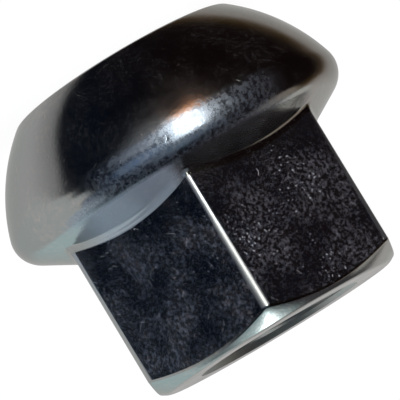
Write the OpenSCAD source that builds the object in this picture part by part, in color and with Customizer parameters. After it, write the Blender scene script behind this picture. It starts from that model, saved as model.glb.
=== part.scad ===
// Ball seat lug nut: a hex with an open end, and a wide collar with a spherical seat.
// It stands on the seat end. The origin is the middle of the seat end, on the bore's axis,
// and +Z points to the open end of the hex. Two of the hex corners lie on the Y axis.

/* [Hex] */
// Width across the flats, which is the wrench size
across_flats = 19; // [18.5:0.1:19.5]
// Height from the seat end to the open end
nut_height = 21.3; // [18:0.1:30]
// Rounding along the six upright edges
hex_edge_round = 0.6; // [0.2:0.1:1.5]
// Angle between the open end's chamfer and its end face
chamfer_angle = 30; // [20:1:40]
// Radius of the end face, where its plane would meet the chamfer
end_face_r = 8.9; // [8:0.1:9.2]
// Rounding between the end face and the chamfer
end_edge_round = 1; // [0.2:0.1:1.5]

/* [Collar] */
// Radius of the ball that the seat is a part of
seat_ball_r = 13.5; // [13:0.1:14.5]
// Height of the ball's centre above the seat end
seat_ball_z = 10.5; // [9:0.1:11]
// Rounding between the seat end's face and the ball
seat_edge_round = 0.6; // [0.2:0.1:1]
// Rounding of the rim, between the ball and the cone that leads up to the hex
rim_round = 2; // [0.5:0.1:2.5]
// Slope of the cone that leads up to the hex
shoulder_angle = 30; // [20:1:40]
// Height at which that cone meets the middle of each hex flat
shoulder_z = 10.3; // [9.5:0.1:11.5]

/* [Bore] */
// Nominal diameter of the thread
thread_d = 12; // [10:0.5:13]
// Pitch of the thread
thread_pitch = 1.5; // [1:0.25:2]
// Widest diameter of the countersink at each end of the bore
countersink_d = 12.6; // [12.4:0.1:14]
// Angle of the countersinks, from wall to wall
countersink_angle = 90; // [60:5:120]

/* [Hidden] */
$fn = 144;

// Reach of cutting shapes past the surface that they cut
spare = 1;
flat_r = across_flats / 2;
corner_r = flat_r / cos(30);
// Height at which the hex starts, well inside the collar
hex_start_z = seat_ball_z / 2;

// An ISO internal thread's crests lie 5/8 of its sharp profile's height inside its nominal diameter
thread_minor_r = thread_d / 2 - 5 / 8 * thread_pitch * cos(30);
countersink_r = countersink_d / 2;
countersink_depth = (countersink_r - thread_minor_r) / tan(countersink_angle / 2);

// Centre of the arc that rounds the seat end's edge: it touches the ball from inside, and the end face
seat_edge_z = seat_edge_round;
seat_edge_r = sqrt(pow(seat_ball_r - seat_edge_round, 2) - pow(seat_ball_z - seat_edge_z, 2));

// Centre of the rim's arc: on a line parallel to the shoulder cone and one rounding inside it, where
// that line is one rounding inside the ball. The line starts below the middle of a hex flat.
rim_start_r = flat_r - rim_round * sin(shoulder_angle);
rim_start_z = shoulder_z - rim_round * cos(shoulder_angle);
rim_half_b = rim_start_r * cos(shoulder_angle) - (rim_start_z - seat_ball_z) * sin(shoulder_angle);
rim_c = pow(rim_start_r, 2) + pow(rim_start_z - seat_ball_z, 2) - pow(seat_ball_r - rim_round, 2);
rim_run = sqrt(pow(rim_half_b, 2) - rim_c) - rim_half_b;
rim_r = rim_start_r + rim_run * cos(shoulder_angle);
rim_z = rim_start_z - rim_run * sin(shoulder_angle);

// Centre of the arc that rounds the edge of the open end's face
end_edge_r = end_face_r - end_edge_round * tan(chamfer_angle / 2);
end_edge_z = nut_height - end_edge_round;

// A point at the distance r from the point c, in the direction a
function polar(c, r, a) = c + r * [cos(a), sin(a)];

// The wedge from the point c between two directions, out to the distance r
module wedge(c, r, from, to) {
    polygon([c, polar(c, r, from), polar(c, r * sqrt(2), (from + to) / 2), polar(c, r, to)]);
}

// Swaps the corner of its outline that lies in a wedge from the point c for an arc of radius r
module round_corner(c, r, from, to) {
    difference() {
        children();
        wedge(c, 2 * r + spare, from, to);
    }
    translate(c) circle(r);
}

// Half section of the collar: the ball below, the shoulder cone above, and a rounded rim between them
module collar_outline() {
    ball_centre = [0, seat_ball_z];
    seat_edge = [seat_edge_r, seat_edge_z];
    rim = [rim_r, rim_z];
    outside_r = seat_ball_r + spare;
    inside_r = flat_r - spare;
    round_corner(rim, rim_round, atan2(rim_z - seat_ball_z, rim_r), 90 - shoulder_angle)
        round_corner(seat_edge, seat_edge_round, -90, atan2(seat_edge_z - seat_ball_z, seat_edge_r))
            intersection() {
                translate(ball_centre) circle(seat_ball_r);
                polygon([
                    [0, 0],
                    [outside_r, 0],
                    [outside_r, shoulder_z - (outside_r - flat_r) * tan(shoulder_angle)],
                    [inside_r, shoulder_z + spare * tan(shoulder_angle)],
                    [0, shoulder_z + spare * tan(shoulder_angle)]
                ]);
            }
}

// Half section of the turned envelope that chamfers the open end of the hex
module chamfer_outline() {
    outside_r = corner_r + spare;
    round_corner([end_edge_r, end_edge_z], end_edge_round, 90 - chamfer_angle, 90)
        polygon([
            [0, 0],
            [outside_r, 0],
            [outside_r, nut_height - (outside_r - end_face_r) * tan(chamfer_angle)],
            [end_face_r, nut_height],
            [0, nut_height]
        ]);
}

// Section of the hex, with a corner rounded at each 60 degrees
module hex_outline() {
    arc_r = (flat_r - hex_edge_round) / cos(30);
    difference() {
        rotate(30) circle(corner_r, $fn = 6);
        for (a = [30:60:330]) wedge(polar([0, 0], arc_r, a), corner_r - arc_r + spare, a - 30, a + 30);
    }
    for (a = [30:60:330]) translate(polar([0, 0], arc_r, a)) circle(hex_edge_round);
}

module hex() {
    intersection() {
        translate([0, 0, hex_start_z]) linear_extrude(nut_height - hex_start_z + spare) hex_outline();
        rotate_extrude() chamfer_outline();
    }
}

module bore() {
    translate([0, 0, -spare]) cylinder(h = nut_height + 2 * spare, r = thread_minor_r);
    countersink();
    translate([0, 0, nut_height]) mirror([0, 0, 1]) countersink();
}

// The cone at the seat end, carried on past the face
module countersink() {
    past_r = spare * tan(countersink_angle / 2);
    translate([0, 0, -spare])
        cylinder(h = countersink_depth + spare, r1 = countersink_r + past_r, r2 = thread_minor_r);
}

module lug_nut() {
    color([0.66, 0.69, 0.72])
        difference() {
            union() {
                hex();
                rotate_extrude() collar_outline();
            }
            bore();
        }
}

lug_nut();
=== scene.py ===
"""A ball seat lug nut in bright zinc plate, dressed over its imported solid."""

import logging
import math
from dataclasses import dataclass
from enum import Enum
from typing import Any, Callable, TypeAlias

import bmesh
import bpy
from mathutils import Matrix, Vector


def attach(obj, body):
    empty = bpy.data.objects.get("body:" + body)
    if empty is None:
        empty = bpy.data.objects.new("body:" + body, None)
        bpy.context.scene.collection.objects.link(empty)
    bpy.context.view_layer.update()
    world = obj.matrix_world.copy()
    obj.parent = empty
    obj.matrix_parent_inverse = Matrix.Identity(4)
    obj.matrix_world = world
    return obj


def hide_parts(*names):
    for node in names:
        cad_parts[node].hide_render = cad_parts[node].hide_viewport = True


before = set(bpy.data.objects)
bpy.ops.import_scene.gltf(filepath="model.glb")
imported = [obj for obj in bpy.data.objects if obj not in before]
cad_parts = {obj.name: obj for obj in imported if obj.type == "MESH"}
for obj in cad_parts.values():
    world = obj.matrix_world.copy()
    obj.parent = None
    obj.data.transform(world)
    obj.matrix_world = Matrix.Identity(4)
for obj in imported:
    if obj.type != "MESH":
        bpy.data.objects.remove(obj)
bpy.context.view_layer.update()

LOG = logging.getLogger("lug_nut")

Point: TypeAlias = tuple[float, float]
Point3: TypeAlias = tuple[float, float, float]
Colour: TypeAlias = tuple[float, float, float]
Span: TypeAlias = tuple[float, float]
Number: TypeAlias = "float | Value"

MM = 0.001
WHITE: Colour = (1.0, 1.0, 1.0)
# The nut's middle, which the lamps and the camera face
MIDDLE: Point3 = (0.0, 0.0, 11 * MM)
# Points that belong together lie this close after a cut or a screw
WELD = 0.001 * MM
# Points of a turned outline lie this close where it meets the axis or itself
FINE_WELD = 0.00002 * MM
# A cut leaves edges as short as this, which are dissolved
SLIVER = 0.0005 * MM


class Outline:
    """A half section of a turned shape, as points (radius, height) in metres."""

    def __init__(self) -> None:
        """Start an empty outline."""
        self.points: list[Point] = []

    def line(self, radius: float, height: float) -> "Outline":
        """Run straight on to a point.

        Args:
            radius: The point's distance from the axis.
            height: Its height.

        Returns:
            The outline itself.
        """
        self.points.append((radius, height))
        return self

    def arc(self, centre: Point, radius: float, start: float, end: float, steps: int) -> "Outline":
        """Run on round an arc.

        Args:
            centre: The arc's centre.
            radius: Its radius.
            start: The direction from the centre to its first point, in radians.
            end: The direction to its last point.
            steps: How many straight pieces it has.

        Returns:
            The outline itself.
        """
        for step in range(steps + 1):
            angle = start + (end - start) * step / steps
            self.line(centre[0] + radius * math.cos(angle), centre[1] + radius * math.sin(angle))
        return self

    def spin(self, steps: int, turns: int = 1, rise: float = 0.0) -> bmesh.types.BMesh:
        """Turn the outline round the axis, into a ring or a screw.

        Args:
            steps: How many flat pieces one turn has.
            turns: How many turns it makes.
            rise: How far it climbs in one turn, which is 0 for a ring.

        Returns:
            The shape. A ring whose outline ends on the axis is a closed solid that faces outwards.
        """
        shape = bmesh.new()
        corners = [shape.verts.new((radius, 0.0, height)) for radius, height in self.points]
        edges = [shape.edges.new(pair) for pair in zip(corners, corners[1:])]
        bmesh.ops.spin(
            shape, geom=corners + edges, cent=(0, 0, 0), axis=(0, 0, 1), dvec=(0, 0, rise / steps),
            angle=2 * math.pi * turns, steps=steps * turns, use_merge=not rise,
            use_normal_flip=False, use_duplicate=False,
        )
        bmesh.ops.remove_doubles(shape, verts=shape.verts, dist=WELD if rise else FINE_WELD)
        bmesh.ops.recalc_face_normals(shape, faces=shape.faces)
        return shape


@dataclass
class LugNut:
    """The whole nut: one forged and turned piece of steel with a cut thread."""

    across_flats: float = 19.0 * MM
    height: float = 21.3 * MM
    hex_edge_round: float = 0.6 * MM
    chamfer_angle: float = math.radians(30)
    end_face_r: float = 8.9 * MM
    end_edge_round: float = 1.0 * MM
    seat_ball_r: float = 13.5 * MM
    seat_ball_z: float = 10.5 * MM
    seat_edge_round: float = 0.6 * MM
    rim_round: float = 2.0 * MM
    shoulder_angle: float = math.radians(30)
    shoulder_z: float = 10.3 * MM
    thread_r: float = 6.0 * MM
    pitch: float = 1.5 * MM
    countersink_r: float = 6.3 * MM
    junction_round: float = 0.44 * MM
    crease_round: float = 0.14 * MM
    # Steps of a full turn, of the seat's and the rim's arcs, of small roundings and of the thread
    around: int = 240
    seat_steps: int = 24
    rim_steps: int = 20
    edge_steps: int = 8
    crease_steps: int = 4
    thread_steps: int = 72
    # Turns of the thread's cutter below the seat end and above the open end
    turns_below: int = 3
    turns_above: int = 2
    # An edge is rounded where it is a hollow deeper than the first angle or a crease above the second
    junction_angle: float = math.radians(-10)
    crease_angle: float = math.radians(18)
    # Reach of cutting shapes past the surface that they cut
    spare: float = 1.0 * MM

    @property
    def flat_r(self) -> float:
        """Distance from the axis to a hex flat."""
        return self.across_flats / 2

    @property
    def corner_r(self) -> float:
        """Distance from the axis to a sharp hex corner."""
        return self.flat_r / math.cos(math.radians(30))

    @property
    def thread_minor_r(self) -> float:
        """Distance from the axis to the thread's crests."""
        return self.thread_r - 5 / 8 * self.pitch * math.cos(math.radians(30))

    def collar(self) -> bmesh.types.BMesh:
        """Spin the collar.

        Returns:
            The collar with its seat, rim and shoulder, filled to the axis.
        """
        ball = (0.0, self.seat_ball_z)
        edge_z = self.seat_edge_round
        edge_r = math.sqrt((self.seat_ball_r - edge_z) ** 2 - (self.seat_ball_z - edge_z) ** 2)
        edge_end = math.atan2(edge_z - ball[1], edge_r)
        slope = self.shoulder_angle
        # The rim's centre lies on a line one rounding below the shoulder cone, and one rounding
        # inside the ball. The line starts under the middle of a hex flat.
        start_r = self.flat_r - self.rim_round * math.sin(slope)
        start_z = self.shoulder_z - self.rim_round * math.cos(slope)
        half_b = start_r * math.cos(slope) - (start_z - ball[1]) * math.sin(slope)
        rest = start_r ** 2 + (start_z - ball[1]) ** 2 - (self.seat_ball_r - self.rim_round) ** 2
        run = math.sqrt(half_b ** 2 - rest) - half_b
        rim = (start_r + run * math.cos(slope), start_z - run * math.sin(slope))
        rim_start = math.atan2(rim[1] - ball[1], rim[0])
        top_z = self.shoulder_z + self.spare * math.tan(slope)
        outline = Outline().line(0.0, 0.0)
        outline.arc((edge_r, edge_z), self.seat_edge_round, -math.pi / 2, edge_end, self.edge_steps)
        outline.arc(ball, self.seat_ball_r, edge_end, rim_start, self.seat_steps)
        outline.arc(rim, self.rim_round, rim_start, math.pi / 2 - slope, self.rim_steps)
        outline.line(self.flat_r - self.spare, top_z).line(0.0, top_z)
        return outline.spin(self.around)

    def end_envelope(self) -> bmesh.types.BMesh:
        """Spin the turned envelope that chamfers the open end.

        Returns:
            A solid that reaches past the hex everywhere except at its open end.
        """
        slope = self.chamfer_angle
        outside = self.corner_r + self.spare
        edge_r = self.end_face_r - self.end_edge_round * math.tan(slope / 2)
        edge_z = self.height - self.end_edge_round
        outline = Outline().line(0.0, 0.0).line(outside, 0.0)
        outline.line(outside, self.height - (outside - self.end_face_r) * math.tan(slope))
        outline.arc((edge_r, edge_z), self.end_edge_round, math.pi / 2 - slope, math.pi / 2,
                    self.edge_steps)
        outline.line(0.0, self.height)
        return outline.spin(self.around)

    def prism(self) -> bmesh.types.BMesh:
        """Extrude the hex and round its upright edges.

        Returns:
            The prism, from inside the collar to past the open end.
        """
        solid = bmesh.new()
        bmesh.ops.create_circle(solid, cap_ends=True, segments=6, radius=self.corner_r,
                                matrix=Matrix.Translation((0, 0, self.seat_ball_z / 2)))
        grown = bmesh.ops.extrude_face_region(solid, geom=list(solid.faces))["geom"]
        risen = [item for item in grown if isinstance(item, bmesh.types.BMVert)]
        bmesh.ops.translate(solid, verts=risen, vec=(0, 0, self.height))
        bmesh.ops.recalc_face_normals(solid, faces=solid.faces)
        upright = [edge for edge in solid.edges
                   if abs(edge.verts[0].co.z - edge.verts[1].co.z) > self.height / 2]
        bmesh.ops.bevel(solid, geom=upright, offset=self.hex_edge_round * math.tan(math.radians(30)),
                        offset_type="OFFSET", affect="EDGES", segments=self.edge_steps, profile=0.5,
                        material=-1)
        return solid

    def thread_tap(self) -> bmesh.types.BMesh:
        """Spin the profile of an ISO internal thread along the bore as a screw, and close its ends.

        Returns:
            A closed solid of the thread, longer than the nut.
        """
        crest, flank, root = self.pitch / 4, self.pitch * 5 / 16, self.pitch / 8
        turns = math.ceil(self.height / self.pitch) + self.turns_below + self.turns_above
        low = -self.turns_below * self.pitch
        high = low + (turns + 1) * self.pitch
        profile = Outline().line(self.thread_minor_r, low).line(self.thread_minor_r, low + crest)
        profile.line(self.thread_r, low + (crest + flank)).line(self.thread_r, low + (crest + flank + root))
        profile.line(self.thread_minor_r, low + self.pitch)
        solid = profile.spin(self.thread_steps, turns, self.pitch)
        # Each end's open rim lies within this distance of the tip that it is drawn to
        reach = 3.5 * self.pitch
        for tip in (low - self.pitch, high + self.pitch):
            rim = [edge for edge in solid.edges
                   if edge.is_boundary and abs(edge.verts[0].co.z - tip) < reach]
            grown = bmesh.ops.extrude_edge_only(solid, edges=rim)["geom"]
            drawn = [item for item in grown if isinstance(item, bmesh.types.BMVert)]
            bmesh.ops.pointmerge(solid, verts=drawn, merge_co=(0, 0, tip))
        bmesh.ops.recalc_face_normals(solid, faces=solid.faces)
        return solid

    def countersink(self, at: float, facing: int) -> bmesh.types.BMesh:
        """Make the 90 degree cone that opens one end of the bore.

        Args:
            at: The height of the end's face.
            facing: 1 where the end faces up, and -1 where it faces down.

        Returns:
            The cone, carried on past the face.
        """
        past = at + facing * self.spare
        outline = Outline().line(0.0, past).line(self.countersink_r + self.spare, past)
        outline.line(0.0, at - facing * self.countersink_r)
        return outline.spin(self.around)

    def build(self) -> bpy.types.Object:
        """Build the nut.

        Returns:
            The finished object.
        """
        nut = Shape("nut", self.prism())
        nut.combine(Act.KEEP_COMMON, self.end_envelope())
        nut.combine(Act.JOIN, self.collar())
        nut.round_edges(self.junction_round, self.edge_steps, lambda angle: angle < self.junction_angle)
        nut.round_edges(self.crease_round, self.crease_steps, lambda angle: angle > self.crease_angle)
        nut.combine(Act.CUT, self.countersink(0.0, -1))
        nut.combine(Act.CUT, self.countersink(self.height, 1))
        nut.combine(Act.CUT, self.thread_tap())
        return nut.finish()

    def region(self, centre: Vector, facing: Vector) -> "Region":
        """Say which of the nut's surfaces a face belongs to.

        Args:
            centre: The face's middle.
            facing: Its normal.

        Returns:
            Its region.
        """
        slack = 0.02 * MM
        upright = 0.02
        inward = facing.xy.dot(centre.xy) < slack
        if centre.xy.length < self.countersink_r + slack and inward:
            return Region.THREAD
        if centre.z > self.height / 2 and abs(facing.z) < upright:
            return Region.FLATS
        return Region.END if centre.z > self.height * 3 / 4 else Region.COLLAR

    def dress(self, nut: bpy.types.Object) -> None:
        """Give each surface its finish.

        Args:
            nut: The finished object.
        """
        nut.data.materials.clear()
        for region in Region:
            nut.data.materials.append(FINISHES[region].make())
        for face in nut.data.polygons:
            face.material_index = self.region(face.center, face.normal).value


class Act(Enum):
    """What one solid does to another. The value is the modifier's word for it."""

    JOIN = "UNION"
    CUT = "DIFFERENCE"
    KEEP_COMMON = "INTERSECT"


class Shape:
    """A solid mesh that is cut, joined and rounded step by step."""

    # Faces that meet at more than this stay creased
    SHARP_ANGLE = math.radians(32)
    # How much a face's area counts in its corners' normals, from 1 to 100
    AREA_WEIGHT = 60

    def __init__(self, name: str, solid: bmesh.types.BMesh) -> None:
        """Put a solid into a new object.

        Args:
            name: The object's name.
            solid: The solid, which is used up.
        """
        self.object = bpy.data.objects.new(name, bpy.data.meshes.new(name))
        bpy.context.scene.collection.objects.link(self.object)
        self._store(solid)

    def _store(self, solid: bmesh.types.BMesh) -> None:
        """Write a solid into the object's mesh and free it.

        Args:
            solid: The solid, which is used up.
        """
        solid.to_mesh(self.object.data)
        solid.free()
        self.object.data.update()

    def combine(self, act: Act, tool: bmesh.types.BMesh) -> None:
        """Let another solid act on this one.

        Args:
            act: What the other solid does.
            tool: The other solid, which is used up.
        """
        other = Shape("tool", tool).object
        modifier = self.object.modifiers.new("combine", "BOOLEAN")
        modifier.operation = act.value
        modifier.solver = "EXACT"
        modifier.object = other
        graph = bpy.context.evaluated_depsgraph_get()
        result = bpy.data.meshes.new_from_object(self.object.evaluated_get(graph))
        self.object.modifiers.clear()
        self.object.data = result
        bpy.data.objects.remove(other)
        self._clean()

    def _clean(self) -> None:
        """Weld what a cut leaves a hair apart."""
        solid = bmesh.new()
        solid.from_mesh(self.object.data)
        bmesh.ops.remove_doubles(solid, verts=solid.verts, dist=WELD)
        bmesh.ops.dissolve_degenerate(solid, edges=solid.edges, dist=SLIVER)
        self._store(solid)

    def round_edges(self, radius: float, steps: int, wanted: Callable[[float], bool]) -> None:
        """Bevel the edges whose angle passes a test.

        Args:
            radius: How far the bevel reaches to each side.
            steps: How many strips it has.
            wanted: Takes an edge's angle, which is negative in a hollow.
        """
        solid = bmesh.new()
        solid.from_mesh(self.object.data)
        solid.normal_update()
        picked = [edge for edge in solid.edges
                  if edge.is_manifold and wanted(edge.calc_face_angle_signed(0.0))]
        LOG.info("rounding %d edges", len(picked))
        bmesh.ops.bevel(solid, geom=picked, offset=radius, offset_type="OFFSET", affect="EDGES",
                        segments=steps, profile=0.5, material=-1, clamp_overlap=False)
        bmesh.ops.remove_doubles(solid, verts=solid.verts, dist=WELD)
        self._store(solid)

    def finish(self) -> bpy.types.Object:
        """Shade the solid smoothly between its creases.

        Returns:
            The object.
        """
        mesh = self.object.data
        mesh.shade_smooth()
        mesh.set_sharp_from_angle(angle=self.SHARP_ANGLE)
        weighted = self.object.modifiers.new("weighted_normals", "WEIGHTED_NORMAL")
        weighted.keep_sharp = True
        weighted.weight = self.AREA_WEIGHT
        return self.object


class Value:
    """A shader socket that takes part in Python sums."""

    def __init__(self, graph: "Graph", socket: bpy.types.NodeSocket) -> None:
        """Wrap a node's output socket."""
        self.graph = graph
        self.socket = socket

    def __add__(self, other: Number) -> "Value":
        """Add a number or another value."""
        return self.graph.math("ADD", self, other)

    def __sub__(self, other: Number) -> "Value":
        """Take away a number or another value."""
        return self.graph.math("SUBTRACT", self, other)

    def __rsub__(self, other: Number) -> "Value":
        """Take this value away from a number."""
        return self.graph.math("SUBTRACT", other, self)

    def __mul__(self, other: Number) -> "Value":
        """Multiply by a number or another value."""
        return self.graph.math("MULTIPLY", self, other)

    __radd__ = __add__
    __rmul__ = __mul__

    def other(self, output: str) -> "Value":
        """Take another output of the same node."""
        return Value(self.graph, self.socket.node.outputs[output])

    def smooth(self, start: float, end: float) -> "Value":
        """Ease from 0 at one value to 1 at another.

        Args:
            start: Where the result is 0.
            end: Where the result is 1. It may be below the start.

        Returns:
            The eased value, from 0 to 1.
        """
        flip = end < start
        low, high = (end, start) if flip else (start, end)
        eased = self.graph.add("ShaderNodeMapRange", {"interpolation_type": "SMOOTHSTEP"},
                               {"Value": self, "From Min": low, "From Max": high})
        return 1 - eased if flip else eased


class Graph:
    """A node tree that is built up by calls."""

    def __init__(self, tree: bpy.types.NodeTree) -> None:
        """Start from an empty tree."""
        self.tree = tree
        tree.nodes.clear()

    def add(self, kind: str, settings: dict[str, Any] | None = None,
            sockets: dict[str | int, Any] | None = None, output: str | int = 0) -> Value | None:
        """Add a node.

        Args:
            kind: The node's type.
            settings: Its settings, which are made first.
            sockets: Values or links for its inputs, by name or number.
            output: Which output is wanted, by name or number.

        Returns:
            That output, or None for a node that has none.
        """
        node = self.tree.nodes.new(kind)
        for name, setting in (settings or {}).items():
            setattr(node, name, setting)
        for key, value in (sockets or {}).items():
            socket = self._find(node.inputs, key)
            if isinstance(value, Value):
                self.tree.links.new(value.socket, socket)
            else:
                socket.default_value = value
        return Value(self, self._find(node.outputs, output)) if len(node.outputs) else None

    @staticmethod
    def _find(sockets: Any, key: str | int) -> bpy.types.NodeSocket:
        """Find a socket by number, or by name among those in use."""
        if isinstance(key, int):
            return sockets[key]
        return next(socket for socket in sockets if socket.enabled and socket.name == key)

    def math(self, operation: str, *values: Number) -> Value:
        """Add a Math node for numbers and values."""
        return self.add("ShaderNodeMath", {"operation": operation}, dict(enumerate(values)))

    def vector(self, operation: str, *values: Any, output: str = "Vector") -> Value:
        """Add a Vector Math node."""
        return self.add("ShaderNodeVectorMath", {"operation": operation}, dict(enumerate(values)), output)

    def axis(self, place: Value, name: str) -> Value:
        """Take the X, Y or Z part of a place or a direction."""
        return self.add("ShaderNodeSeparateXYZ", {}, {"Vector": place}, name)

    def mix(self, factor: Number, first: "Value | Colour", second: "Value | Colour") -> Value:
        """Mix two colours.

        Args:
            factor: 0 for the first colour and 1 for the second.
            first: A colour or a link.
            second: A colour or a link.

        Returns:
            The mixed colour.
        """
        colours = [value if isinstance(value, Value) else (*value, 1.0) for value in (first, second)]
        return self.add("ShaderNodeMix", {"data_type": "RGBA"},
                        {"Factor": factor, "A": colours[0], "B": colours[1]}, "Result")


@dataclass(frozen=True)
class Noise:
    """Soft noise, by its blotches' width in metres, its finer layers, their strength and its bends."""

    size: float
    detail: float = 2.0
    roughness: float = 0.5
    distortion: float = 0.0

    def at(self, graph: Graph, place: Value) -> Value:
        """Read the noise.

        Args:
            graph: The material's graph.
            place: Where it is read, in metres.

        Returns:
            A value about 0.5.
        """
        return graph.add("ShaderNodeTexNoise", {"noise_dimensions": "3D"},
                         {"Vector": place, "Scale": 1 / self.size, "Detail": self.detail,
                          "Roughness": self.roughness, "Distortion": self.distortion}, 0)


class Region(Enum):
    """The nut's surfaces, each with its own finish. The value is its material's place in the mesh."""

    FLATS = 0
    COLLAR = 1
    END = 2
    THREAD = 3


@dataclass(frozen=True)
class RubbedEdges:
    """The hex's upright edges, rubbed free of tints and mottling, with a softer shine."""

    # An edge starts at this radius, less a little for each step up
    radius: float = 10.90 * MM
    taper: float = 0.008
    fade: float = 0.10 * MM
    extra_roughness: float = 0.20
    bloom: float = 0.05
    # Painted shade at the flats' foot, by the collar: the bloom's strength there, what it gains above, and
    # where
    foot_shade_bloom: float = 0.45
    gain: float = 0.65
    foot_shade_span: Span = (10.2 * MM, 13 * MM)

    def mask(self, graph: Graph, place: Value) -> Value:
        """Pick out the edges.

        Args:
            graph: The material's graph.
            place: Where the pattern is read.

        Returns:
            1 on an edge and 0 on the flats.
        """
        sideways = graph.vector("MULTIPLY", place, (1.0, 1.0, 0.0))
        radius = graph.vector("LENGTH", sideways, output="Value")
        reach = radius + graph.axis(place, "Z") * self.taper
        return reach.smooth(self.radius, self.radius + self.fade)

    def flat_bloom_with_foot_shade(self, graph: Graph, place: Value) -> Value:
        """Return how strong the bloom is on the flats, by height, lowered at their foot as painted shade.
        """
        return self.foot_shade_bloom + graph.axis(place, "Z").smooth(*self.foot_shade_span) * self.gain


@dataclass(frozen=True)
class WornBandWithPaintedGlow:
    """A band along one side of the rim, rough where the nut has rolled against others; its bluish colour
    and bloom are a painted glow.
    """

    low: float = 6.4 * MM
    high: float = 8.8 * MM
    fade: float = 0.3 * MM
    wander: float = 0.9 * MM
    wander_noise: Noise = Noise(1.5 * MM, 3.0)
    grain: Noise = Noise(0.30 * MM, 3.0, 0.7)
    grain_span: Span = (0.28, 0.74)
    # Where the band sets in and ends along X, and how much further its upper part reaches
    near_end: Span = (-9.6 * MM, -6.4 * MM)
    far_end: Span = (6.9 * MM, 4.8 * MM)
    upper: Span = (7.8 * MM, 8.3 * MM)
    upper_reach: float = 2.6 * MM
    roughness: float = 0.40
    # Painted glow: the bloom and the bluish colour that pale and tint the band
    bloom: float = 0.04
    colour: Colour = (0.37, 0.46, 0.60)
    colour_share: float = 0.6

    def mask(self, graph: Graph, place: Value) -> Value:
        """Pick out the band.

        Args:
            graph: The material's graph.
            place: Where the pattern is read.

        Returns:
            1 in the band and 0 away from it.
        """
        level = graph.axis(place, "Z")
        across = level.other("X")
        uneven = level + (self.wander_noise.at(graph, place) - 0.5) * self.wander
        ring = uneven.smooth(self.low - self.fade, self.low + self.fade)
        ring = ring * level.smooth(self.high + self.fade, self.high - self.fade)
        reach = across - uneven.smooth(*self.upper) * self.upper_reach
        return ring * across.smooth(*self.near_end) * reach.smooth(*self.far_end)


@dataclass(frozen=True)
class PaintedShoulderReflection:
    """A painted reflection on the shoulder: a pale patch along the foot of one flat."""

    share: float = 0.29
    colour: Colour = (0.41, 0.49, 0.53)
    colour_share: float = 0.6
    wander: float = 1.2 * MM
    wander_noise: Noise = Noise(1.5 * MM, 3.0)
    # Where it sets in and ends along X, and where it sets in upwards
    near_end: Span = (-0.3 * MM, 1.2 * MM)
    far_end: Span = (9.0 * MM, 6.0 * MM)
    bottom: Span = (8.65 * MM, 8.95 * MM)

    def mask(self, graph: Graph, place: Value) -> Value:
        """Pick out the cloud.

        Args:
            graph: The material's graph.
            place: Where the pattern is read.

        Returns:
            1 in the cloud and 0 away from it.
        """
        across = graph.axis(place, "X")
        uneven = across + (self.wander_noise.at(graph, place) - 0.5) * self.wander
        ends = uneven.smooth(*self.near_end) * uneven.smooth(*self.far_end)
        return ends * across.other("Z").smooth(*self.bottom)


@dataclass(frozen=True)
class PaintedGlints:
    """Painted glints: small pale spots, in loose clusters, and fewer past the nut's middle along X."""

    share: float = 0.42
    grain: Noise = Noise(0.20 * MM, 1.0, 0.6)
    clusters: Noise = Noise(3.9 * MM, 2.0, 0.6)
    cluster_pull: float = 0.5
    thin_out: Span = (-1 * MM, 2 * MM)
    thinner: float = 0.05
    span: Span = (0.69, 0.85)

    def mask(self, graph: Graph, place: Value) -> Value:
        """Pick out the painted glints.

        Args:
            graph: The material's graph.
            place: Where the pattern is read.

        Returns:
            1 on a speck and 0 between them.
        """
        lift = self.grain.at(graph, place) + (self.clusters.at(graph, place) - 0.5) * self.cluster_pull
        lift = lift - graph.axis(place, "X").smooth(*self.thin_out) * self.thinner
        return lift.smooth(*self.span)


@dataclass(frozen=True)
class Scratches:
    """Short hair scratches, along the level lines of one noise and broken up by another."""

    depth: float = 0.006 * MM
    field: Noise = Noise(1.6 * MM, 1.0, 0.5, 0.6)
    half_width: float = 0.010
    breaks: Noise = Noise(0.9 * MM)
    break_span: Span = (0.58, 0.66)

    def mask(self, graph: Graph, place: Value) -> Value:
        """Return 1 in a scratch and 0 off it."""
        off_line = graph.math("ABSOLUTE", self.field.at(graph, place) - 0.5)
        return off_line.smooth(self.half_width, 0.0) * self.breaks.at(graph, place).smooth(*self.break_span)


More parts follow.
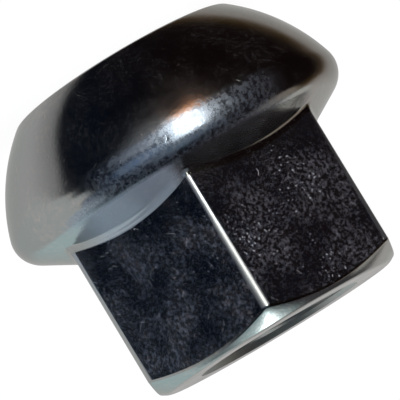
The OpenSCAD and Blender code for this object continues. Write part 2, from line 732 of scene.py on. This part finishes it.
@dataclass(frozen=True)
class ZincPlate:
    """Bright zinc plate over steel, as forging, turning or thread cutting left it."""

    name: str
    colour: Colour = (0.50, 0.51, 0.50)
    grazing_tint: Colour = (0.75, 0.80, 0.78)
    roughness: float = 0.16
    rough_spread: float = 0.06
    # Broad patches that tint, roughness and bloom share
    patches: Noise = Noise(2.7 * MM)
    rough_span: Span = (0.3, 0.7)
    # Cool and warm tints that zinc takes on at random, and a painted reflection colour that leans them cool
    # towards +X and warm towards -X
    cool: Colour = (0.40, 0.44, 0.45)
    warm: Colour = (0.56, 0.53, 0.51)
    tint_share: float = 0.6
    tint: Noise = Noise(0.45 * MM, 3.0, 0.7)
    tint_fine: float = 0.65
    tint_span: Span = (0.38, 0.62)
    side_reflection_tint: float = 0.10
    side_reflection_span: Span = (-9 * MM, 9 * MM)
    # Dull, mottled bloom
    bloom: float = 0.025
    bloom_coarse: Noise = Noise(0.28 * MM, 3.0, 0.7)
    bloom_fine: Noise = Noise(0.154 * MM, 2.0, 0.8)
    bloom_fine_share: float = 0.22
    bloom_span: Span = (0.44, 0.72)
    bloom_least: float = 0.2
    bloom_patch_span: Span = (0.35, 0.65)
    # Fine grain and slow waves in the surface
    grain: Noise = Noise(0.20 * MM, 3.0, 0.55)
    grain_depth: float = 0.005 * MM
    waves: Noise = Noise(2.2 * MM)
    wave_depth: float = 0.006 * MM
    edges: RubbedEdges | None = None
    band: WornBandWithPaintedGlow | None = None
    painted_glints: PaintedGlints | None = None
    shoulder_reflection: PaintedShoulderReflection | None = None
    scratches: Scratches | None = None

    def make(self) -> bpy.types.Material:
        """Build the material.

        Returns:
            The material, with all its patterns on Object coordinates.
        """
        material = bpy.data.materials.new(self.name)
        material.use_nodes = True
        graph = Graph(material.node_tree)
        place = graph.add("ShaderNodeTexCoord", output="Object")
        patches = self.patches.at(graph, place)
        rough = self.roughness + (patches.smooth(*self.rough_span) - 0.5) * self.rough_spread
        dull = self._bloomed(graph, place, patches)
        share: Number = self.tint_share
        if self.edges:
            edge = self.edges.mask(graph, place)
            rough = rough + edge * self.edges.extra_roughness
            # The flats' bloom is lowered towards their foot, as painted shade
            dull = dull * self.edges.flat_bloom_with_foot_shade(graph, place) * (1 - edge) + edge * self.edges.bloom
            share = (1 - edge) * self.tint_share
        colour = self._tinted(graph, place, patches, share)
        # The band is rougher, and its bloom and bluish colour are a painted glow
        if self.band:
            worn_and_glow = self.band.mask(graph, place)
            matt_and_glow = worn_and_glow * self.band.grain.at(graph, place).smooth(*self.band.grain_span)
            rough = rough + matt_and_glow * (self.band.roughness - self.roughness)
            dull = dull + matt_and_glow * self.band.bloom
            colour = graph.mix(worn_and_glow * self.band.colour_share, colour, self.band.colour)
        # Painted glints: pale dull spots in the bare metal's colour
        if self.painted_glints:
            painted_glint = self.painted_glints.mask(graph, place)
            dull = dull + painted_glint * self.painted_glints.share
            colour = graph.mix(painted_glint, colour, self.colour)
        # Painted reflection: a pale bluish grey patch on the shoulder at the foot of one flat
        if self.shoulder_reflection:
            painted_reflection = self.shoulder_reflection.mask(graph, place)
            dull = dull + painted_reflection * self.shoulder_reflection.share
            colour = graph.mix(painted_reflection * self.shoulder_reflection.colour_share, colour, self.shoulder_reflection.colour)
        shader = graph.add("ShaderNodeBsdfPrincipled", {}, {
            "Base Color": colour, "Metallic": 1 - dull, "Roughness": rough,
            "Specular Tint": (*self.grazing_tint, 1.0), "Normal": self._bumped(graph, place)})
        graph.add("ShaderNodeOutputMaterial", {}, {"Surface": shader})
        return material

    def _bloomed(self, graph: Graph, place: Value, patches: Value) -> Value:
        """Mottle the surface with dull bloom.

        Args:
            graph: The material's graph.
            place: Where the patterns are read.
            patches: Broad soft patches.

        Returns:
            How dull the metal is, from 0 to 1.
        """
        coarse = self.bloom_coarse.at(graph, place)
        fine = self.bloom_fine.at(graph, place)
        mottle = coarse * (1 - self.bloom_fine_share) + fine * self.bloom_fine_share
        broad = self.bloom_least + patches.smooth(*self.bloom_patch_span) * (1 - self.bloom_least)
        return mottle.smooth(*self.bloom_span) * broad * self.bloom

    def _tinted(self, graph: Graph, place: Value, patches: Value, share: Number) -> Value:
        """Mix the cool and warm tints that zinc takes on, leaning them cool towards +X as painted
        reflection colour.

        Args:
            graph: The material's graph.
            place: Where the patterns are read.
            patches: Broad soft patches.
            share: How strong the tints are.

        Returns:
            The metal's colour.
        """
        fine = self.tint.at(graph, place)
        across = graph.axis(place, "X")
        # Painted reflection colour: the tints lean cool towards +X and warm towards -X
        side_reflection = self.side_reflection_tint - across.smooth(*self.side_reflection_span) * (2 * self.side_reflection_tint)
        lean = (fine * self.tint_fine + patches * (1 - self.tint_fine) + side_reflection).smooth(*self.tint_span)
        return graph.mix(share, self.colour, graph.mix(lean, self.cool, self.warm))

    def _bumped(self, graph: Graph, place: Value) -> Value:
        """Raise the grain and the waves, and sink the scratches.

        Args:
            graph: The material's graph.
            place: Where the patterns are read.

        Returns:
            The surface's normal.
        """
        height = self.grain.at(graph, place) * self.grain_depth
        height = height + self.waves.at(graph, place) * self.wave_depth
        if self.scratches:
            height = height - self.scratches.mask(graph, place) * self.scratches.depth
        return graph.add("ShaderNodeBump", {}, {"Strength": 1.0, "Distance": 1.0, "Height": height})


FINISHES: dict[Region, ZincPlate] = {
    Region.FLATS: ZincPlate(
        "forged_zinc", cool=(0.35, 0.42, 0.52), warm=(0.45, 0.43, 0.46), tint_share=0.85, bloom=0.135,
        grain=Noise(0.34 * MM, 3.0, 0.55), grain_depth=0.006 * MM, edges=RubbedEdges(), painted_glints=PaintedGlints(),
        scratches=Scratches()),
    Region.COLLAR: ZincPlate("turned_zinc", band=WornBandWithPaintedGlow(), shoulder_reflection=PaintedShoulderReflection(), scratches=Scratches()),
    Region.END: ZincPlate("chamfer_zinc"),
    Region.THREAD: ZincPlate("thread_zinc", roughness=0.42, bloom=0.08),
}


@dataclass(frozen=True)
class Lamp:
    """An area lamp that faces the nut's middle, by its direction and its spread in degrees."""

    name: str
    azimuth: float
    elevation: float
    wide: float
    tall: float
    radiance: float
    colour: Colour
    distance: float = 0.5

    def place(self) -> None:
        """Set up the lamp."""
        data = bpy.data.lights.new(self.name, "AREA")
        data.shape = "RECTANGLE"
        data.size = 2 * self.distance * math.tan(math.radians(self.wide) / 2)
        data.size_y = 2 * self.distance * math.tan(math.radians(self.tall) / 2)
        data.color = self.colour
        data.energy = self.radiance * math.pi * data.size * data.size_y
        lamp = bpy.data.objects.new(self.name, data)
        turn, rise = math.radians(self.azimuth), math.radians(self.elevation)
        away = Vector((math.sin(turn) * math.cos(rise), -math.cos(turn) * math.cos(rise), math.sin(rise)))
        lamp.location = Vector(MIDDLE) + away * self.distance
        lamp.rotation_euler = away.to_track_quat("Z", "Y").to_euler()
        bpy.context.scene.collection.objects.link(lamp)


@dataclass(frozen=True)
class Patch:
    """A soft round part of the room, by its direction, its angular radii in degrees and its colour."""

    way: Point3
    inner: float
    outer: float
    colour: Colour

    def lay(self, graph: Graph, way: Value, room: Value) -> Value:
        """Lay the patch over the room.

        Args:
            graph: The world's graph.
            way: The direction that is looked in.
            room: The room's colour without the patch.

        Returns:
            The room's colour with it.
        """
        near = graph.vector("DOT_PRODUCT", way, Vector(self.way).normalized(), output="Value")
        mask = near.smooth(math.cos(math.radians(self.outer)), math.cos(math.radians(self.inner)))
        return graph.mix(mask, room, self.colour)


@dataclass(frozen=True)
class Studio:
    """A white floor and backdrop, an unlit side to the room, and the lamps."""

    # The room is open and lit round one way. Its edge starts, is half done and ends at these cosines
    open_way: Point3 = (0.50, 0.86, 0.05)
    open_from: float = 0.25
    open_soon: float = 0.37
    open_to: float = 0.80
    open_warm: Colour = (0.595, 0.56, 0.555)
    open_cool: Colour = (0.64, 0.75, 0.76)
    # Where the open part turns cool, by the direction's Z and X
    cool_rise: Span = (0.1, 0.5)
    cool_side: Span = (0.0, 0.25)
    # The open part widens above the horizon and narrows towards the top and the bottom, by its Z
    wide_from: Span = (0.2, 0.45)
    wide_to: Span = (0.7, 0.6)
    wide_gain: float = 0.08
    top_span: Span = (0.65, 0.9)
    top_loss: float = 0.20
    bottom_span: Span = (-0.6, -1.0)
    bottom_loss: float = 0.17
    # The unlit part, from its cool side to its warm side by X, with a brown rim by the open part
    cool_dark: Colour = (0.003, 0.005, 0.010)
    warm_dark: Colour = (0.006, 0.003, 0.003)
    dark_side: Span = (0.5, -0.5)
    edge_brown: Colour = (0.10, 0.06, 0.02)
    brown_lead: float = 0.2
    brown_side: Span = (0.1, -0.3)
    # What matt surfaces are lit by, from one side to the other by X
    ambient_warm: Colour = (1.04, 0.98, 1.14)
    ambient_cool: Colour = (0.84, 0.98, 1.28)
    ambient_side: Span = (-0.5, 0.5)
    patches: tuple[Patch, ...] = (
        Patch((0.94, 0.24, 0.20), 40, 44.5, (0.585, 0.585, 0.575)),
        Patch((0.63, 0.03, 0.78), 7, 11, (0.50, 0.53, 0.51)),
        Patch((-0.30, 0.50, 0.81), 15, 23, (0.055, 0.053, 0.058)),
        Patch((-0.265, 0.735, 0.625), 6, 9.5, (0.046, 0.044, 0.045)),
        Patch((-0.46, 0.63, 0.625), 6.5, 9.3, (0.55, 0.55, 0.53)),
        Patch((0.20, 0.36, 0.91), 4, 14, (0.22, 0.27, 0.29)),
        Patch((0.05, 0.46, 0.89), 2, 12, (0.62, 0.75, 0.76)),
        Patch((0.25, 0.58, 0.78), 2, 8, (0.18, 0.20, 0.21)),
        Patch((-0.60, 0.33, 0.73), 8, 14, (0.28, 0.24, 0.20)),
        Patch((0.32, -0.88, 0.36), 3, 23, (0.17, 0.23, 0.32)),
        Patch((0.129, -0.918, -0.375), 10, 30, (0.26, 0.27, 0.29)),
        Patch((-0.112, -0.633, 0.766), 3, 24, (0.15, 0.18, 0.21)),
        Patch((0.72, -0.37, 0.58), 8, 12, (0.05, 0.06, 0.075)),
        Patch((0.85, -0.52, -0.08), 9, 14, (0.001, 0.003, 0.008)),
        Patch((-0.86, -0.50, -0.09), 6, 20, (0.012, 0.009, 0.011)),
    )
    lamps: tuple[Lamp, ...] = (
        Lamp("window", -16.5, -5.4, 20.5, 65.8, 4.2, (0.97, 0.98, 0.94)),
        Lamp("low_sun", -21.5, -39.6, 18, 2.6, 3.4, (1.0, 0.34, 0.07)),
        Lamp("ceiling", 177, 63, 4, 14, 4.6, (0.88, 1.0, 1.0)),
    )
    floor_size: float = 4.0
    floor_colour: Colour = (0.95, 0.95, 0.95)
    floor_glow: float = 1.02
    shadow_share: float = 0.06

    def build(self) -> None:
        """Make the world, the floor and the lamps."""
        self._world()
        self._floor()
        for lamp in self.lamps:
            lamp.place()

    def _world(self) -> None:
        """Make the backdrop and the room that polished metal mirrors."""
        world = bpy.data.worlds.new("studio")
        world.use_nodes = True
        world.cycles.sampling_method = "NONE"
        bpy.context.scene.world = world
        graph = Graph(world.node_tree)
        way = graph.add("ShaderNodeTexCoord", output="Generated")
        across = graph.axis(way, "X")
        room = self._room(graph, way, across)
        for patch in self.patches:
            room = patch.lay(graph, way, room)
        ray = graph.add("ShaderNodeLightPath", output="Is Camera Ray")
        ambient = graph.mix(across.smooth(*self.ambient_side), self.ambient_warm, self.ambient_cool)
        room = graph.mix(ray.other("Is Diffuse Ray"), room, ambient)
        seen = graph.add("ShaderNodeBackground", {}, {"Color": graph.mix(ray, room, WHITE)})
        graph.add("ShaderNodeOutputWorld", {}, {"Surface": seen})

    def _room(self, graph: Graph, way: Value, across: Value) -> Value:
        """Divide the room into its open, lit part and its dark part.

        Args:
            graph: The world's graph.
            way: The direction that is looked in.
            across: Its X part.

        Returns:
            The room's colour.
        """
        rise = across.other("Z")
        side = graph.vector("DOT_PRODUCT", way, Vector(self.open_way).normalized(), output="Value")
        side = side + rise.smooth(*self.wide_from) * rise.smooth(*self.wide_to) * self.wide_gain
        side = side - rise.smooth(*self.top_span) * self.top_loss
        side = side - rise.smooth(*self.bottom_span) * self.bottom_loss
        room = graph.mix(across.smooth(*self.dark_side), self.cool_dark, self.warm_dark)
        brown = side.smooth(self.open_from - self.brown_lead, self.open_soon)
        room = graph.mix(brown * across.smooth(*self.brown_side), room, self.edge_brown)
        quick = side.smooth(self.open_from, self.open_soon)
        slow = side.smooth(self.open_from, self.open_to)
        cool = rise.smooth(*self.cool_rise) * across.smooth(*self.cool_side)
        return graph.mix((quick + slow) * 0.5, room, graph.mix(cool, self.open_warm, self.open_cool))

    def _floor(self) -> None:
        """Make the floor, which looks white from above, keeps the nut's shadow and is clear from below."""
        sheet = bmesh.new()
        bmesh.ops.create_grid(sheet, x_segments=1, y_segments=1, size=self.floor_size / 2)
        floor = bpy.data.objects.new("floor", bpy.data.meshes.new("floor"))
        sheet.to_mesh(floor.data)
        sheet.free()
        material = bpy.data.materials.new("white_floor")
        material.use_nodes = True
        graph = Graph(material.node_tree)
        lit = graph.add("ShaderNodeBsdfDiffuse", {}, {"Color": (*self.floor_colour, 1.0)})
        glow = graph.add("ShaderNodeEmission", {}, {"Strength": self.floor_glow})
        ray = graph.add("ShaderNodeLightPath", output="Is Camera Ray")
        rays = ray + ray.other("Is Glossy Ray") + ray.other("Is Transmission Ray")
        seen = graph.add("ShaderNodeMixShader", {}, {0: rays * (1 - self.shadow_share), 1: lit, 2: glow})
        under = graph.add("ShaderNodeNewGeometry", output="Backfacing")
        clear = graph.add("ShaderNodeBsdfTransparent")
        shader = graph.add("ShaderNodeMixShader", {}, {0: under, 1: seen, 2: clear})
        graph.add("ShaderNodeOutputMaterial", {}, {"Surface": shader})
        floor.data.materials.append(material)
        floor.visible_glossy = False
        floor.visible_shadow = False
        bpy.context.scene.collection.objects.link(floor)


@dataclass(frozen=True)
class Viewpoint:
    """The camera, by where it stands and how big the nut looks."""

    distance: float = 240 * MM
    elevation: float = math.radians(5.40)
    roll: float = math.radians(-148.92)
    # Image points to a metre at the nut's middle, and where the middle is in the image
    scale: float = 14.379 / MM
    centre: Point = (203.178, 202.361)
    image: float = 400.0
    sensor: float = 36.0
    clip: Span = (0.01, 10.0)

    def place(self) -> None:
        """Set the camera up and look through it."""
        level = Vector((1, 0, 0))
        rise = Vector((0, math.sin(self.elevation), math.cos(self.elevation)))
        back = Vector((0, -math.cos(self.elevation), math.sin(self.elevation)))
        right = math.cos(self.roll) * level - math.sin(self.roll) * rise
        up = math.sin(self.roll) * level + math.cos(self.roll) * rise
        target = Vector(MIDDLE) - right * ((self.centre[0] - self.image / 2) / self.scale)
        target += up * ((self.centre[1] - self.image / 2) / self.scale)
        turn = Matrix((right, up, back)).transposed().to_4x4()
        data = bpy.data.cameras.new("camera")
        data.sensor_width = self.sensor
        data.lens = self.sensor * self.distance * self.scale / self.image
        data.clip_start, data.clip_end = self.clip
        camera = bpy.data.objects.new("camera", data)
        camera.matrix_world = Matrix.Translation(target + self.distance * back) @ turn
        bpy.context.scene.collection.objects.link(camera)
        bpy.context.scene.camera = camera


def main() -> None:
    """Build the nut, dress it and set the studio round it."""
    logging.basicConfig(level=logging.INFO, format="%(name)s: %(message)s")
    sizes = LugNut()
    nut = sizes.build()
    sizes.dress(nut)
    LOG.info("%s: %d vertices, %d faces", nut.name, len(nut.data.vertices), len(nut.data.polygons))
    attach(nut, "root")
    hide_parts("lug_nut")
    Studio().build()
    Viewpoint().place()
    bpy.context.scene.view_settings.view_transform = "Standard"


if __name__ == "__main__":
    main()
